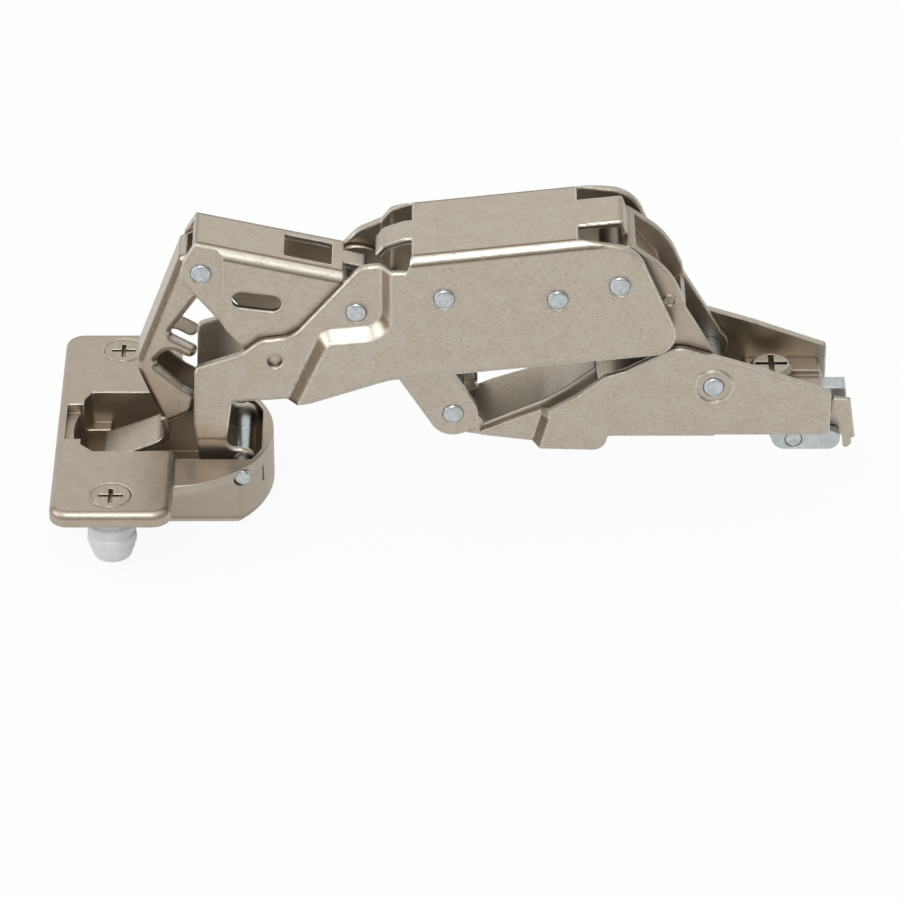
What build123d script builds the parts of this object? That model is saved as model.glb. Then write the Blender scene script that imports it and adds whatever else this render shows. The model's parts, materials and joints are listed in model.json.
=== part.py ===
"""Concealed cup hinge with seven pivots, shown with the door open at a right angle.

Millimetres, +Z up. The origin is the centre of the 35 mm bore in the door, on the door's face.
The arm lies along +X, and the hinge's middle plane is Y = 0. Side outlines are (x, z, rounding).
"""

import os
from math import atan2, cos, hypot, radians, sin

from build123d import *

# Pivots in the side plane: where each axle stands at rest
CUP_AXLE_X = 12.4
CUP_AXLE_Z = -0.8
HOOK_AXLE_X = 6.1
HOOK_AXLE_Z = 35.6
CROSS_AXLE_X = 32.0
CROSS_AXLE_Z = 29.3
FRONT_AXLE_X = 48.2
FRONT_AXLE_Z = 8.2
PARALLEL_RUN = 43.9
PARALLEL_RISE = 6.6

# Sheet thicknesses
LEVER_SHEET = 1.0
OUTER_SHEET = 1.2
ARM_SHEET = 1.2

# Widths, counted from the innermost channel outwards
HOOK_HALF = 4.3
NEST_GAP = 0.15
EAR_STEP = 0.75
NOSE_GAP = 0.05
ARM_NOSE_STEP = 1.8
STRADDLE_GAP = 0.5
LINK_SIDE_GAP = 0.3

# Axles and their holes
AXLE_R = 1.72
CUP_AXLE_R = 1.4
AXLE_GAP = 0.05
AXLE_PROUD = 0.25
AXLE_CHAMFER = 0.2

# Bosses round the axles
EAR_R = 3.45
CROSS_BOSS_R = 5.2
FRONT_BOSS_R = 4.2
CUP_LOBE_R = 2.4
LINK_HEAD_R = 3.2
LINK_FOOT_R = 3.0
INNER_EAR_R = 3.7

# Cup and flange
BORE_R = 17.5
CUP_DEPTH = 10.4
CUP_WALL = 0.8
CUP_FLAT = 12.7
CUP_RIM_RISE = 1.0
CUP_RIM_BAND = 1.0
CUP_EDGE_R = 2.2
FLANGE_T = 2.6
FLANGE_LENGTH = 56.4
FLANGE_LEFT = -19.4
FLANGE_RIGHT = 1.0
FLANGE_CORNER_R = 3.2
FLANGE_EDGE_R = 1.2
MOUTH_HALF = 9.2
MOUTH_LEFT = -15.2
MOUTH_RIGHT = 15.6
NOTCH_HALF = 5.4
NOTCH_DEPTH = 2.8
NOTCH_FLOOR = 0.8
MOUTH_CHAMFER = 2.2
LEDGE_LENGTH = 4.4
LEDGE_DEPTH = 2.4
LEDGE_DROP = 3.6
SLIT_WIDTH = 0.8
SLIT_HEIGHT = 3.0
SLIT_ANGLE = -25.0

# Door screws and dowels
SCREW_TO_END = 5.7
SCREW_SET_BACK = 9.2
SCREW_HEAD_R = 3.7
SCREW_HEAD_H = 1.9
SCREW_SHANK_R = 1.6
SCREW_GAP = 0.1
SCREW_LENGTH = 9.0
CROSS_ARM = 2.1
CROSS_WIDTH = 0.75
CROSS_DEPTH = 1.0
DOWEL_R = 4.2
DOWEL_GROOVE = 0.45
DOWEL_LENGTH = 8.8
DOWEL_RIBS = 3
DOWEL_TIP = 2.0
DOWEL_SLOT = 0.8
RIB_FLAT = 0.55
RIB_DROP = 0.7
RIB_VALLEY = 0.85
RECESS_TAPER = 8.0

# Outer lever
WEB_BEND_R = 1.7
JOGGLE_RUN = 1.6
PEEP_HOLE_R = 1.25
PEEP_DEPTH = 0.9
LEFT_TONGUE_HALF = 2.9
RIGHT_TONGUE_HALF = 4.1
RIGHT_TONGUE_LENGTH = 7.5
FOOT_FOLD_Z = 4.0
FOOT_FOLD_STEP = 0.35
FOOT_WIDTH = 14.0
FOOT_HEIGHT = 12.0

# Crossing lever
CROSS_BEND_R = 1.9
WINDOW_HALF = 3.4
NECK_HALF = 1.9
WINDOW_LENGTH = 8.0
SLOT_LENGTH = 8.4
SLOT_TILT = -8.0
SLOT_HALF_HEIGHT = 1.6
EAR_JOGGLE_RUN = 1.0

# Hook link
HOOK_BEND_R = 1.3

# Rear link
LINK_RIM = 1.4
LINK_RIB = 0.9
LINK_EMBOSS_R = 1.2
LINK_EMBOSS = 0.2

# Closing spring
SPRING_WIRE = 1.1
SPRING_COIL_R = 2.6
SPRING_TURNS = 3
SPRING_PITCH = 1.25
SPRING_LEG = 18.5
SPRING_UPPER_TILT = 12.0
SPRING_LOWER_TILT = 1.4

# Arm and clip
ARM_REAR_X = 112.0
ARM_FLOOR_Z = 5.0
EMBOSS_RING_R = 3.35
EMBOSS_RING_W = 0.5
EMBOSS_RING_H = 0.3
ARM_CREASE = 0.35
NOSE_STEP_RUN = 1.4
RAMP_BEND_R = 0.5
RAMP_DRAFT = 0.2
RAMP_LEAN = 2.4
BLOCK_GAP = 0.05
DEPTH_SCREW_R = 3.6
DEPTH_SCREW_HEAD = 3.2
DEPTH_SCREW_CHAMFER = 0.6
DEPTH_SLOT_LENGTH = 5.4
DEPTH_SLOT_WIDTH = 0.9
DEPTH_SLOT_DEPTH = 1.6
DEPTH_SCREW_STEM_R = 2.2
DEPTH_SCREW_BACK = 9.8
CLIP_PIN_R = 1.45
CLIP_SHEET = 1.0
CLIP_HALF = 4.6
CLIP_GAP = 0.3
BLOCK_BELOW_AXLE = 3.6
LUG_ABOVE_FLOOR = 3.1
LUG_HEIGHT = 2.8
LUG_REACH = 3.0
LUG_HALF = 2.2
RACK_WIDTH = 2.5
RACK_SHIFT = 1.5
RACK_DEPTH = 1.0

# Derived widths
EAR_HALF = HOOK_HALF + NEST_GAP + LEVER_SHEET
CROSS_HALF = EAR_HALF + EAR_STEP
NARROW_HALF = CROSS_HALF + NEST_GAP + OUTER_SHEET
INNER_ARM_HALF = CROSS_HALF - LEVER_SHEET - NEST_GAP
NOSE_HALF = INNER_ARM_HALF + NOSE_GAP + ARM_SHEET
ARM_HALF = NOSE_HALF + ARM_NOSE_STEP
ARM_INSIDE = ARM_HALF - ARM_SHEET
WIDE_HALF = ARM_HALF + STRADDLE_GAP + OUTER_SHEET
LINK_HALF = ARM_INSIDE - LINK_SIDE_GAP
HOLE_R = AXLE_R + AXLE_GAP
CUP_HOLE_R = CUP_AXLE_R + AXLE_GAP

# Derived pivots: the front and rear pairs make an exact parallelogram
CUP_AXLE = (CUP_AXLE_X, CUP_AXLE_Z)
HOOK_AXLE = (HOOK_AXLE_X, HOOK_AXLE_Z)
CROSS_AXLE = (CROSS_AXLE_X, CROSS_AXLE_Z)
FRONT_AXLE = (FRONT_AXLE_X, FRONT_AXLE_Z)
REAR_AXLE = (FRONT_AXLE_X + PARALLEL_RUN, FRONT_AXLE_Z + PARALLEL_RISE)
LINK_AXLE = (CROSS_AXLE_X + PARALLEL_RUN, CROSS_AXLE_Z + PARALLEL_RISE)
SPRING_AXLE = (LINK_AXLE[0] - 10.3, LINK_AXLE[1] - 2.7)
STOP_AXLE = (CROSS_AXLE_X + 14.7, CROSS_AXLE_Z + 4.1)
CLIP_AXLE = (ARM_REAR_X - 6.0, ARM_FLOOR_Z - 1.6)
FAR = 200.0


def near(pivot, dx, dz, rounding=0.0):
    """A corner of an outline, given from a pivot."""
    return (pivot[0] + dx, pivot[1] + dz, rounding)


def along(start, end, run, side, rounding=0.0):
    """A corner given along the line from start to end, side to the left of it."""
    length = hypot(end[0] - start[0], end[1] - start[1])
    ux = (end[0] - start[0]) / length
    uz = (end[1] - start[1]) / length
    return (start[0] + run * ux - side * uz, start[1] + run * uz + side * ux, rounding)


def outline(corners):
    """A closed face from corners with their roundings, inside a sketch."""
    with BuildLine() as wire:
        FilletPolyline(*[(x, z) for x, z, _ in corners], radius=[r for _, _, r in corners], close=True)
    make_face(wire.edges())


def disc(pivot, radius, mode=Mode.ADD):
    """A round in a side sketch."""
    with Locations(pivot):
        Circle(radius, mode=mode)


def strip(points, thickness):
    """A bent strip's face: the corners on its upper line, and the same line a thickness below."""
    lower = []
    for index, (x, z, r) in enumerate(points):
        before = points[max(index - 1, 0)]
        after = points[min(index + 1, len(points) - 1)]
        angle = atan2(after[1] - before[1], after[0] - before[0])
        lower.append((x + thickness * sin(angle), z - thickness * cos(angle), r))
    outline(list(points) + lower[::-1])


def holes(pivots, radius):
    """Round holes right through the part along Y."""
    with BuildSketch(Plane.XZ) as rounds:
        for pivot in pivots:
            disc(pivot, radius)
    extrude(rounds.sketch, amount=FAR, both=True, mode=Mode.SUBTRACT)


def side_wedge(narrow, wide, y_narrow, y_wide, mode):
    """The step between a narrow and a wide stretch of a folded side, on both sides."""
    for sign in (1, -1):
        with BuildSketch(Plane.XZ.offset(sign * y_narrow)) as inner:
            outline(narrow)
        with BuildSketch(Plane.XZ.offset(sign * y_wide)) as outer:
            outline(wide)
        loft([inner.sketch, outer.sketch], ruled=True, mode=mode)


def folded_block(start, end, half, radius):
    """A long block under the line from start to end, with its two top edges rounded."""
    run = hypot(end[0] - start[0], end[1] - start[1])
    heading = Vector((end[0] - start[0]) / run, 0, (end[1] - start[1]) / run)
    with BuildPart() as block:
        with BuildSketch(Plane(origin=(start[0], 0, start[1]), x_dir=(0, 1, 0), z_dir=heading)):
            with Locations((0, 0)):
                RectangleRounded(2 * half, FAR, radius, align=(Align.CENTER, Align.MAX))
        extrude(amount=FAR, both=True)
    return block.part


def axle(pivot, half, radius):
    """A plain turned axle across the hinge with chamfered ends."""
    with BuildPart() as pin:
        with BuildSketch(Plane.XZ):
            disc(pivot, radius)
        extrude(amount=half, both=True)
        chamfer(pin.edges().filter_by(GeomType.CIRCLE), AXLE_CHAMFER)
    return pin.part


def write(part, name):
    """Labels a piece and writes its file."""
    part.label = name
    export_step(part, f"parts/{name}.step")


os.makedirs("parts", exist_ok=True)

# Cup: flange and bored-in body, one zinc casting
FLANGE_CENTRE_X = (FLANGE_LEFT + FLANGE_RIGHT) / 2
SCREW_SPACING = FLANGE_LENGTH - 2 * SCREW_TO_END
with BuildPart() as boss:
    with BuildSketch(Plane.XY.offset(-CUP_DEPTH)):
        Circle(BORE_R)
        Rectangle(FAR, 2 * CUP_FLAT, mode=Mode.INTERSECT)
    extrude(amount=CUP_DEPTH)
    fillet(boss.edges().filter_by(Axis.Z), CUP_EDGE_R / 2)
    fillet(boss.faces().sort_by(Axis.Z)[0].edges(), CUP_EDGE_R)
with BuildPart() as cup:
    with BuildSketch():
        with Locations((FLANGE_CENTRE_X, 0)):
            RectangleRounded(FLANGE_RIGHT - FLANGE_LEFT, FLANGE_LENGTH, FLANGE_CORNER_R)
    extrude(amount=FLANGE_T)
    fillet(cup.faces().sort_by(Axis.Z)[-1].edges(), FLANGE_EDGE_R)
    add(boss.part)
    with BuildSketch(Plane.XY.offset(-CUP_RIM_BAND)):
        Circle(BORE_R)
    extrude(amount=CUP_RIM_BAND + CUP_RIM_RISE)
    with BuildSketch(Plane.XY.offset(CUP_WALL - CUP_DEPTH)):
        with BuildLine():
            Polyline((MOUTH_LEFT, MOUTH_HALF), (MOUTH_RIGHT, MOUTH_HALF), (MOUTH_RIGHT, -MOUTH_HALF),
                     (MOUTH_LEFT + MOUTH_CHAMFER, -MOUTH_HALF), (MOUTH_LEFT, MOUTH_CHAMFER - MOUTH_HALF),
                     close=True)
        make_face()
        Circle(BORE_R - CUP_WALL, mode=Mode.INTERSECT)
    extrude(amount=FAR, mode=Mode.SUBTRACT)
    with BuildSketch(Plane.XY.offset(CUP_WALL - CUP_DEPTH)):
        with Locations((MOUTH_LEFT, 0)):
            Rectangle(2 * NOTCH_DEPTH, 2 * NOTCH_HALF)
        Circle(BORE_R - CUP_WALL, mode=Mode.INTERSECT)
    extrude(amount=CUP_DEPTH - CUP_WALL + FLANGE_T, mode=Mode.SUBTRACT)
    with BuildSketch(Plane.XY.offset(NOTCH_FLOOR)):
        with Locations((MOUTH_LEFT, 0)):
            Rectangle(2 * NOTCH_DEPTH, 2 * NOTCH_HALF)
    extrude(amount=FLANGE_T, mode=Mode.SUBTRACT)
    with BuildSketch(Plane.XY.offset(CUP_WALL - CUP_DEPTH)):
        with Locations((MOUTH_LEFT, MOUTH_HALF)):
            Rectangle(LEDGE_LENGTH, LEDGE_DEPTH, align=(Align.MIN, Align.MAX))
        Circle(BORE_R - CUP_WALL, mode=Mode.INTERSECT)
    extrude(amount=CUP_DEPTH - CUP_WALL - LEDGE_DROP)
    with Locations(Plane.XY.rotated((0, 0, SLIT_ANGLE)).offset(-SLIT_HEIGHT)):
        with Locations((BORE_R, 0)):
            Box(CUP_WALL, SLIT_WIDTH, SLIT_HEIGHT, mode=Mode.SUBTRACT)
    holes([CUP_AXLE], CUP_HOLE_R)
    with BuildSketch(Plane.XY):
        with Locations((-SCREW_SET_BACK, 0)):
            with GridLocations(0, SCREW_SPACING, 1, 2):
                Circle(SCREW_SHANK_R + SCREW_GAP)
    extrude(amount=FLANGE_T, mode=Mode.SUBTRACT)
    for side in (1, -1):
        with BuildSketch(Plane.XY.offset(FLANGE_T - SCREW_HEAD_H)):
            with Locations((-SCREW_SET_BACK, side * SCREW_SPACING / 2)):
                Circle(SCREW_SHANK_R + SCREW_GAP)
        with BuildSketch(Plane.XY.offset(FLANGE_T)):
            with Locations((-SCREW_SET_BACK, side * SCREW_SPACING / 2)):
                Circle(SCREW_HEAD_R + SCREW_GAP)
        loft(mode=Mode.SUBTRACT)
write(cup.part, "cup")

# Dowels: ribbed nylon plugs, split so that the screw spreads them
for name, side in (("front_dowel", -1), ("rear_dowel", 1)):
    dowel_y = side * SCREW_SPACING / 2
    rib_pitch = (DOWEL_LENGTH - DOWEL_TIP) / DOWEL_RIBS
    with BuildPart() as dowel:
        with BuildSketch(Plane.XZ):
            with BuildLine():
                points = [(SCREW_SHANK_R + SCREW_GAP, 0), (DOWEL_R, 0)]
                for rib in range(DOWEL_RIBS):
                    top = -rib * rib_pitch
                    points.append((DOWEL_R, top - rib_pitch * RIB_FLAT))
                    points.append((DOWEL_R - DOWEL_GROOVE, top - rib_pitch * RIB_DROP))
                    points.append((DOWEL_R - DOWEL_GROOVE, top - rib_pitch * RIB_VALLEY))
                    points.append((DOWEL_R - DOWEL_GROOVE * rib / DOWEL_RIBS, top - rib_pitch))
                points.append((DOWEL_R - DOWEL_TIP / 2, -DOWEL_LENGTH))
                points.append((SCREW_SHANK_R + SCREW_GAP, -DOWEL_LENGTH))
                Polyline(*points, close=True)
            make_face()
        revolve(axis=Axis.Z)
        with Locations((0, 0, -DOWEL_LENGTH)):
            Box(FAR, DOWEL_SLOT, DOWEL_LENGTH / 2, align=(Align.CENTER, Align.CENTER, Align.MIN),
                mode=Mode.SUBTRACT)
    write(dowel.part.moved(Location((-SCREW_SET_BACK, dowel_y, 0))), name)

# Door screws: countersunk heads with a cross recess
for name, side in (("front_door_screw", -1), ("rear_door_screw", 1)):
    with BuildPart() as screw:
        with BuildSketch(Plane.XZ):
            with BuildLine():
                Polyline((0, FLANGE_T), (SCREW_HEAD_R, FLANGE_T), (SCREW_SHANK_R, FLANGE_T - SCREW_HEAD_H),
                         (SCREW_SHANK_R, FLANGE_T - SCREW_LENGTH + SCREW_SHANK_R),
                         (0, FLANGE_T - SCREW_LENGTH), close=True)
            make_face()
        revolve(axis=Axis.Z)
        with BuildSketch(Plane.XY.offset(FLANGE_T)):
            Rectangle(2 * CROSS_ARM, CROSS_WIDTH)
            Rectangle(CROSS_WIDTH, 2 * CROSS_ARM)
        extrude(amount=-CROSS_DEPTH, taper=RECESS_TAPER, mode=Mode.SUBTRACT)
    write(screw.part.moved(Location((-SCREW_SET_BACK, side * SCREW_SPACING / 2, 0))), name)

# Cup axle: carries the outer lever's foot in the cup
CUP_AXLE_HALF = (BORE_R ** 2 - CUP_AXLE_X ** 2) ** 0.5
write(axle(CUP_AXLE, CUP_AXLE_HALF, CUP_AXLE_R), "cup_axle")

# Outer lever: a folded channel, wide over the arm and set in at its left end
web_left = near(CROSS_AXLE, 9.3, 11.8)
web_right = near(LINK_AXLE, -7.0, 8.4)
tail_top = near(LINK_AXLE, 2.7, 7.2, 6.5)
outer_outline = [
    web_left, web_right, tail_top,
    near(LINK_AXLE, 11.3, -13.1, 4.0),
    near(CROSS_AXLE, 5.5, -12.0, 8.0),
    near(CROSS_AXLE, -8.5, -16.9, 9.0),
    near(CUP_AXLE, -1.6, 12.3, 0.8),
    near(CUP_AXLE, -2.9, 2.6, 1.6),
    near(CUP_AXLE, 0, CUP_LOBE_R, 0),
    near(CUP_AXLE, 0, -CUP_LOBE_R, 0),
    near(CUP_AXLE, -7.2, -1.2, 2.0),
    near(CUP_AXLE, -8.1, 8.0, 4.0),
    near(CUP_AXLE, -7.7, 18.9, 1.2),
    near(CUP_AXLE, 0.2, 21.7, 4.0),
    near(CUP_AXLE, 3.4, 24.4, 3.0),
    near(CROSS_AXLE, -10.8, -5.0, 5.0),
]
front_shoulder = [near(CROSS_AXLE, 0.8, 8.9, 4.0), near(CROSS_AXLE, 8.5, 9.1, 0.4)]
rear_shoulder = [near(CROSS_AXLE, 0.0, 7.6, 4.0), near(CROSS_AXLE, 5.4, 10.2, 3.0)]
step_narrow = [
    (-FAR, FAR, 0), near(CROSS_AXLE, 4.2, FAR), near(CROSS_AXLE, 4.2, -2.4, 3.2),
    near(CROSS_AXLE, -5.9, -3.4, 3.2), near(CROSS_AXLE, -16.0, -27.0), near(CROSS_AXLE, -16.0, -FAR),
    (-FAR, -FAR, 0),
]
step_wide = [
    (-FAR, FAR, 0), near(CROSS_AXLE, 4.2 + JOGGLE_RUN, FAR),
    near(CROSS_AXLE, 4.2 + JOGGLE_RUN, -2.4 - JOGGLE_RUN, 3.2 + JOGGLE_RUN),
    near(CROSS_AXLE, -5.9 + JOGGLE_RUN * 0.7, -3.4 - JOGGLE_RUN, 3.2 - JOGGLE_RUN),
    near(CROSS_AXLE, -16.0 + JOGGLE_RUN, -27.0), near(CROSS_AXLE, -16.0 + JOGGLE_RUN, -FAR),
    (-FAR, -FAR, 0),
]
web_slope = (web_right[1] - web_left[1]) / (web_right[0] - web_left[0])
with BuildPart() as outer_cavity:
    with BuildSketch(Plane.XZ):
        outline([
            (web_left[0], web_left[1] - OUTER_SHEET, 0), (web_right[0], web_right[1] - OUTER_SHEET, 0),
            (web_right[0], FAR, 0), (FAR, FAR, 0), (FAR, -FAR, 0), (-FAR, -FAR, 0), (-FAR, FAR, 0),
            (web_left[0], FAR, 0),
        ])
    extrude(amount=WIDE_HALF - OUTER_SHEET, both=True)
    side_wedge(step_narrow, step_wide, NARROW_HALF - OUTER_SHEET, WIDE_HALF - OUTER_SHEET, Mode.SUBTRACT)
with BuildPart() as outer_lever:
    for shoulder, width in ((front_shoulder, WIDE_HALF), (rear_shoulder, -WIDE_HALF)):
        with BuildSketch(Plane.XZ):
            outline(outer_outline + shoulder)
            disc(CUP_AXLE, CUP_LOBE_R)
        extrude(amount=width)
    add(folded_block(web_left, web_right, WIDE_HALF, WEB_BEND_R), mode=Mode.INTERSECT)
    side_wedge(step_narrow, step_wide, NARROW_HALF, WIDE_HALF, Mode.SUBTRACT)
    add(outer_cavity.part, mode=Mode.SUBTRACT)
    with BuildSketch(Plane.XZ):
        strip([near(web_left, -6.1, -3.2), near(web_left, -4.8, -1.5, 1.6), near(web_left, -1.4, -0.2, 3.0),
               near(web_left, 0.5, 0.5 * web_slope)], OUTER_SHEET)
    extrude(amount=LEFT_TONGUE_HALF, both=True)
    with BuildSketch(Plane.XZ):
        strip([near(web_right, -0.5, -0.5 * web_slope),
               near(web_right, RIGHT_TONGUE_LENGTH, RIGHT_TONGUE_LENGTH * web_slope, 0.7),
               near(web_right, RIGHT_TONGUE_LENGTH + 0.9, RIGHT_TONGUE_LENGTH * web_slope - 2.4)],
              OUTER_SHEET)
    extrude(amount=RIGHT_TONGUE_HALF, both=True)
    for side in (1, -1):
        with Locations((CUP_AXLE_X - FOOT_WIDTH / 2, side * NARROW_HALF, FOOT_FOLD_Z)):
            Box(FOOT_WIDTH, 2 * FOOT_FOLD_STEP, FOOT_HEIGHT, align=(Align.CENTER, Align.CENTER, Align.MAX),
                mode=Mode.SUBTRACT)
    holes([CROSS_AXLE, SPRING_AXLE, STOP_AXLE, LINK_AXLE], HOLE_R)
    holes([CUP_AXLE], CUP_HOLE_R)
    with BuildSketch(Plane.XZ.offset(NARROW_HALF)):
        disc(near(CUP_AXLE, 5.8, 20.4)[:2], PEEP_HOLE_R)
    extrude(amount=-PEEP_DEPTH, mode=Mode.SUBTRACT)
write(outer_lever.part, "outer_lever")
for name, pivot, half in (("cross_axle", CROSS_AXLE, NARROW_HALF), ("stop_axle", STOP_AXLE, WIDE_HALF),
                          ("spring_axle", SPRING_AXLE, WIDE_HALF), ("link_axle", LINK_AXLE, WIDE_HALF)):
    write(axle(pivot, half + AXLE_PROUD, AXLE_R), name)

# Crossing lever: one folded sheet, a channel on the left and two legs down to the arm
cross_web_left = near(HOOK_AXLE, -0.8, 5.9, 0.4)
cross_web_right = near(CROSS_AXLE, -2.1, 6.5, 0.3)
cross_outline = [
    cross_web_left, cross_web_right,
    near(CROSS_AXLE, -2.2, 4.0, 0.5),
    near(CROSS_AXLE, 0, 0),
    near(CROSS_AXLE, -1.0, -4.9),
    near(CROSS_AXLE, -10.0, -7.2, 4.0),
    near(CROSS_AXLE, -18.2, -9.0, 1.0),
    near(HOOK_AXLE, -2.55, -2.3),
    near(HOOK_AXLE, -3.1, 2.0, 1.0),
]
leg_outline = [
    along(FRONT_AXLE, CROSS_AXLE, 0, FRONT_BOSS_R),
    along(FRONT_AXLE, CROSS_AXLE, 12.0, 2.9, 6.0),
    along(FRONT_AXLE, CROSS_AXLE, 26.6, 4.6),
    along(FRONT_AXLE, CROSS_AXLE, 26.6, -4.6),
    along(FRONT_AXLE, CROSS_AXLE, 15.5, -2.3, 4.0),
    along(FRONT_AXLE, CROSS_AXLE, 10.6, -2.2, 2.0),
    along(FRONT_AXLE, CROSS_AXLE, 6.4, -4.9, 1.5),
    along(FRONT_AXLE, CROSS_AXLE, 0, -FRONT_BOSS_R),
]
ear_narrow = [(-FAR, FAR, 0), near(HOOK_AXLE, 4.1, FAR), near(HOOK_AXLE, 1.6, -FAR), (-FAR, -FAR, 0)]
ear_wide = [(x + (EAR_JOGGLE_RUN if x > -FAR else 0), z, r) for x, z, r in ear_narrow]
with BuildPart() as cross_cavity:
    with BuildSketch(Plane.XZ):
        outline([
            (cross_web_left[0] - LEVER_SHEET, cross_web_left[1] - 0.8 * LEVER_SHEET, 0),
            (cross_web_right[0] + 1.0, cross_web_right[1] - 1.25 * LEVER_SHEET, 0),
            (cross_web_right[0] + 1.0, FAR, 0), (FAR, FAR, 0), (FAR, -FAR, 0), (-FAR, -FAR, 0),
            (-FAR, FAR, 0), (cross_web_left[0] - LEVER_SHEET, FAR, 0),
        ])
    extrude(amount=CROSS_HALF - LEVER_SHEET, both=True)
    side_wedge(ear_narrow, ear_wide, EAR_HALF - LEVER_SHEET, CROSS_HALF - LEVER_SHEET, Mode.SUBTRACT)
with BuildPart() as crossing_lever:
    with BuildSketch(Plane.XZ):
        outline(cross_outline)
        disc(HOOK_AXLE, EAR_R)
        disc(CROSS_AXLE, CROSS_BOSS_R)
        disc(FRONT_AXLE, FRONT_BOSS_R)
        outline(leg_outline)
    extrude(amount=CROSS_HALF, both=True)
    add(folded_block(cross_web_left, cross_web_right, CROSS_HALF, CROSS_BEND_R), mode=Mode.INTERSECT)
    side_wedge(ear_narrow, ear_wide, EAR_HALF, CROSS_HALF, Mode.SUBTRACT)
    add(cross_cavity.part, mode=Mode.SUBTRACT)
    with BuildSketch(Plane.XZ):
        strip([near(cross_web_right, -1.5, 0.34), near(cross_web_right, 3.5, -0.8)], LEVER_SHEET)
    extrude(amount=NECK_HALF, both=True)
    with BuildSketch(Plane.XY):
        with Locations((cross_web_right[0] - 6.0, 0)):
            RectangleRounded(WINDOW_LENGTH, 2 * WINDOW_HALF, 0.4)
    extrude(amount=FAR, mode=Mode.SUBTRACT)
    with BuildSketch(Plane.XZ):
        with Locations(Location(near(HOOK_AXLE, 9.2, -5.0)[:2] + (0,), (0, 0, SLOT_TILT))):
            SlotOverall(SLOT_LENGTH, 2 * SLOT_HALF_HEIGHT)
    extrude(amount=FAR, mode=Mode.SUBTRACT)
    holes([HOOK_AXLE, CROSS_AXLE, FRONT_AXLE], HOLE_R)
write(crossing_lever.part, "crossing_lever")
write(axle(HOOK_AXLE, EAR_HALF + AXLE_PROUD, AXLE_R), "hook_axle")

# Hook link: a narrow channel with its web on the left, hooked sides and a tongue into the cup
hook_left = [
    near(HOOK_AXLE, -3.7, 2.2, 0.5),
    near(HOOK_AXLE, -11.6, -19.0, 4.5),
    near(HOOK_AXLE, -7.0, -31.3, 0),
]
hook_outline = hook_left + [
    near(HOOK_AXLE, -2.0, -28.6, 2.2),
    near(HOOK_AXLE, -1.0, -24.6, 1.8),
    near(HOOK_AXLE, -3.4, -23.1, 0.6),
    near(HOOK_AXLE, -8.4, -18.5, 1.0),
    near(HOOK_AXLE, -5.8, -15.8, 2.0),
    near(HOOK_AXLE, -1.9, -18.2, 1.2),
    near(HOOK_AXLE, -0.7, -15.6, 1.2),
    near(HOOK_AXLE, -5.6, -12.7, 0.7),
    near(HOOK_AXLE, -1.0, -6.2, 1.0),
    near(HOOK_AXLE, 3.2, -1.6, 1.5),
    near(HOOK_AXLE, 0, 3.9, 2.0),
]
with BuildPart() as hook_cavity:
    with BuildSketch(Plane.XZ):
        outline([
            near(HOOK_AXLE, -3.7 + LEVER_SHEET * 1.4, 3.0), near(HOOK_AXLE, -11.6 + LEVER_SHEET * 1.05, -19.0, 3.5),
            near(HOOK_AXLE, -7.0 + LEVER_SHEET * 0.9, -31.6), near(HOOK_AXLE, FAR, -31.6),
            near(HOOK_AXLE, FAR, FAR), near(HOOK_AXLE, -3.7 + LEVER_SHEET * 1.4, FAR),
        ])
    extrude(amount=HOOK_HALF - LEVER_SHEET, both=True)
with BuildPart() as hook_link:
    with BuildSketch(Plane.XZ):
        outline(hook_outline)
    extrude(amount=HOOK_HALF, both=True)
    web_faces = hook_link.faces().filter_by(lambda face: face.normal_at().X < -0.5).sort_by(Axis.X)[:3]
    fold_edges = [edge for face in web_faces for edge in face.edges() if abs(edge.center().Y) > HOOK_HALF - NEST_GAP]
    fillet(fold_edges, HOOK_BEND_R)
    add(hook_cavity.part, mode=Mode.SUBTRACT)
    with BuildSketch(Plane.XZ):
        strip([near(HOOK_AXLE, -17.7, -38.0), near(HOOK_AXLE, -11.6, -35.7, 5.0),
               near(HOOK_AXLE, -6.7, -33.6, 2.6), near(HOOK_AXLE, -7.6, -29.7)], LEVER_SHEET)
    extrude(amount=HOOK_HALF, both=True)
    holes([HOOK_AXLE], HOLE_R)
write(hook_link.part, "hook_link")

# Rear link: a curved casting with a pocket along its outer side
link_outline = [
    along(LINK_AXLE, REAR_AXLE, -4.2, 3.4, 0.6),
    along(LINK_AXLE, REAR_AXLE, -3.8, 4.8, 0.8),
    along(LINK_AXLE, REAR_AXLE, 4.6, 7.2, 14.0),
    along(LINK_AXLE, REAR_AXLE, 11.0, 5.5, 1.5),
    along(LINK_AXLE, REAR_AXLE, 12.2, 4.8, 1.5),
    along(LINK_AXLE, REAR_AXLE, 26.6, 2.9, 2.0),
    along(LINK_AXLE, REAR_AXLE, 26.6, -LINK_FOOT_R),
    along(LINK_AXLE, REAR_AXLE, 17.0, -2.6, 5.0),
    along(LINK_AXLE, REAR_AXLE, 6.0, 2.6, 4.0),
    along(LINK_AXLE, REAR_AXLE, 0, -0.4),
]
link_pocket = [
    along(LINK_AXLE, REAR_AXLE, -2.4, 12.0),
    along(LINK_AXLE, REAR_AXLE, -2.4, 3.6, 0.6),
    along(LINK_AXLE, REAR_AXLE, 6.0, 3.6, 3.0),
    along(LINK_AXLE, REAR_AXLE, 17.0, -1.0, 4.0),
    along(LINK_AXLE, REAR_AXLE, 21.5, -1.4, 0.8),
    along(LINK_AXLE, REAR_AXLE, 21.5, -12.0),
    along(LINK_AXLE, REAR_AXLE, 40.0, -12.0),
    along(LINK_AXLE, REAR_AXLE, 40.0, 12.0),
]
link_rib = [
    along(LINK_AXLE, REAR_AXLE, 12.0, 4.4), along(LINK_AXLE, REAR_AXLE, 12.0 + LINK_RIB, 4.4),
    along(LINK_AXLE, REAR_AXLE, 12.0 + LINK_RIB, 0.0), along(LINK_AXLE, REAR_AXLE, 12.0, 0.0),
]
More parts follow.
